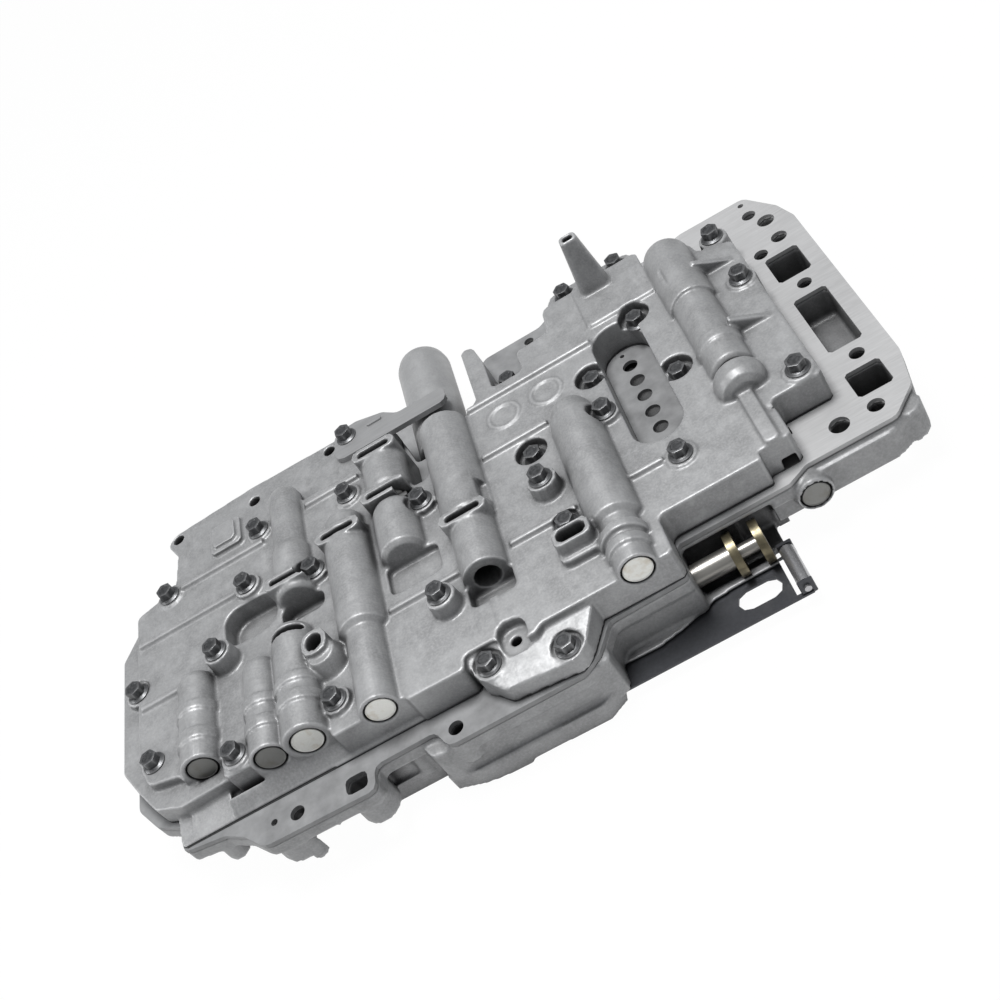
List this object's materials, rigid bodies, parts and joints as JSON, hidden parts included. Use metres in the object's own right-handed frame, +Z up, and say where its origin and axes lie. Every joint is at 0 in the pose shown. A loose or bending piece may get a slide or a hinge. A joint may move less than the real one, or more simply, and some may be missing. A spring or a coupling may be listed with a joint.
{
  "type": "transmission valve body",
  "caption": "Control unit of an automatic gearbox: two die castings bolted over a separator plate, with sliding valves, a manual valve and a roller detent spring.",
  "frame": {"origin": "centre of the strainer seat's two screw holes, on the plane of the flat pads that the unit rests on", "axes": "+X along the length towards the manual valve's end, -Y towards the front where the valve plugs show, +Z up from the rest pads"},
  "size_m": [0.409, 0.2779, 0.086],
  "materials": {
    "upper_body": "matte casting",
    "lower_body": "matte casting",
    "separator_plate": "bright, milled",
    "gasket": "dark fibre sheet",
    "cover_strip": "satin",
    "bright_plug": "satin",
    "dark_plug": "satin",
    "key": "satin",
    "bolt": "dark phosphate",
    "valve": "ground",
    "spring": "wire",
    "spool_steel": "ground",
    "spring_steel": "blued",
    "roller_steel": "ground"
  },
  "bodies": {
    "housing": {"upper_body": "upper_body", "lower_body": "lower_body", "separator_plate": "separator_plate", "upper_gasket": "gasket", "lower_gasket": "gasket", "cover_strip": "cover_strip", "bright_plugs": "bright_plug", "dark_plugs": "dark_plug", "retaining_keys": "key", "body_bolts": "bolt", "long_bolts": "bolt", "short_bolts": "bolt", "pocket_bolts": "bolt", "strip_bolt": "bolt", "detent_screws": "bolt", "accumulator_cap": "dark_plug", "shift_a_spring": "spring", "shift_b_spring": "spring", "shift_c_spring": "spring", "shift_d_spring": "spring", "throttle_spring": "spring", "lockup_spring": "spring", "regulator_spring": "spring", "coast_spring": "spring", "relay_spring": "spring", "timing_spring": "spring", "relief_spring": "spring", "accumulator_spring": "spring"},
    "shift_valve_a": {"shift_valve_a": "valve"},
    "shift_valve_b": {"shift_valve_b": "valve"},
    "shift_valve_c": {"shift_valve_c": "valve"},
    "shift_valve_d": {"shift_valve_d": "valve"},
    "throttle_valve": {"throttle_valve": "valve"},
    "lockup_valve": {"lockup_valve": "valve"},
    "regulator_valve": {"regulator_valve": "valve"},
    "coast_valve": {"coast_valve": "valve"},
    "relay_valve": {"relay_valve": "valve"},
    "timing_valve": {"timing_valve": "valve"},
    "relief_valve": {"relief_valve": "valve"},
    "accumulator_piston": {"accumulator_piston": "valve"},
    "manual_valve": {"manual_valve": "spool_steel"},
    "detent_arm": {"detent_spring": "spring_steel", "roller_pin": "roller_steel"},
    "detent_roller": {"detent_roller": "roller_steel"}
  },
  "joints": [
    {"name": "shift_valve_a_slide", "type": "slide", "parent": "housing", "child": "shift_valve_a", "axis": [0, 1, 0], "range_m": [0, 0.005], "stiffness_N_per_m": 800, "springref_m": -0.004, "deforming": ["shift_a_spring"]},
    {"name": "shift_valve_b_slide", "type": "slide", "parent": "housing", "child": "shift_valve_b", "axis": [0, 1, 0], "range_m": [0, 0.005], "stiffness_N_per_m": 800, "springref_m": -0.004, "deforming": ["shift_b_spring"]},
    {"name": "shift_valve_c_slide", "type": "slide", "parent": "housing", "child": "shift_valve_c", "axis": [0, 1, 0], "range_m": [0, 0.005], "stiffness_N_per_m": 800, "springref_m": -0.004, "deforming": ["shift_c_spring"]},
    {"name": "shift_valve_d_slide", "type": "slide", "parent": "housing", "child": "shift_valve_d", "axis": [0, 1, 0], "range_m": [0, 0.005], "stiffness_N_per_m": 800, "springref_m": -0.004, "deforming": ["shift_d_spring"]},
    {"name": "throttle_valve_slide", "type": "slide", "parent": "housing", "child": "throttle_valve", "axis": [0, 1, 0], "range_m": [0, 0.005], "stiffness_N_per_m": 800, "springref_m": -0.004, "deforming": ["throttle_spring"]},
    {"name": "lockup_valve_slide", "type": "slide", "parent": "housing", "child": "lockup_valve", "axis": [0, -1, 0], "range_m": [0, 0.005], "stiffness_N_per_m": 800, "springref_m": -0.004, "deforming": ["lockup_spring"]},
    {"name": "regulator_valve_slide", "type": "slide", "parent": "housing", "child": "regulator_valve", "axis": [0, 1, 0], "range_m": [0, 0.005], "stiffness_N_per_m": 800, "springref_m": -0.004, "deforming": ["regulator_spring"]},
    {"name": "coast_valve_slide", "type": "slide", "parent": "housing", "child": "coast_valve", "axis": [0, 1, 0], "range_m": [0, 0.005], "stiffness_N_per_m": 800, "springref_m": -0.004, "deforming": ["coast_spring"]},
    {"name": "relay_valve_slide", "type": "slide", "parent": "housing", "child": "relay_valve", "axis": [0, 1, 0], "range_m": [0, 0.005], "stiffness_N_per_m": 800, "springref_m": -0.004, "deforming": ["relay_spring"]},
    {"name": "timing_valve_slide", "type": "slide", "parent": "housing", "child": "timing_valve", "axis": [0, 1, 0], "range_m": [0, 0.005], "stiffness_N_per_m": 800, "springref_m": -0.004, "deforming": ["timing_spring"]},
    {"name": "relief_valve_slide", "type": "slide", "parent": "housing", "child": "relief_valve", "axis": [0, 1, 0], "range_m": [0, 0.005], "stiffness_N_per_m": 800, "springref_m": -0.004, "deforming": ["relief_spring"]},
    {"name": "accumulator_piston_slide", "type": "slide", "parent": "housing", "child": "accumulator_piston", "axis": [0, 1, 0], "range_m": [0, 0.015], "stiffness_N_per_m": 1500, "springref_m": -0.006, "deforming": ["accumulator_spring"]},
    {"name": "manual_valve_slide", "type": "slide", "parent": "housing", "child": "manual_valve", "axis": [1, 0, 0], "range_m": [-0.016, 0]},
    {"name": "detent_arm_flex", "type": "hinge", "parent": "housing", "child": "detent_arm", "pos_m": [0.031, -0.07, 0.0064], "axis": [0, 1, 0], "range_deg": [0, 3], "stiffness_Nm_per_rad": 60, "springref_deg": -1.15, "deforming": ["detent_spring"]},
    {"name": "detent_roller_spin", "type": "hinge", "parent": "detent_arm", "child": "detent_roller", "pos_m": [0.1175, -0.0694, 0.0105], "axis": [0, 1, 0], "continuous": true}
  ]
}
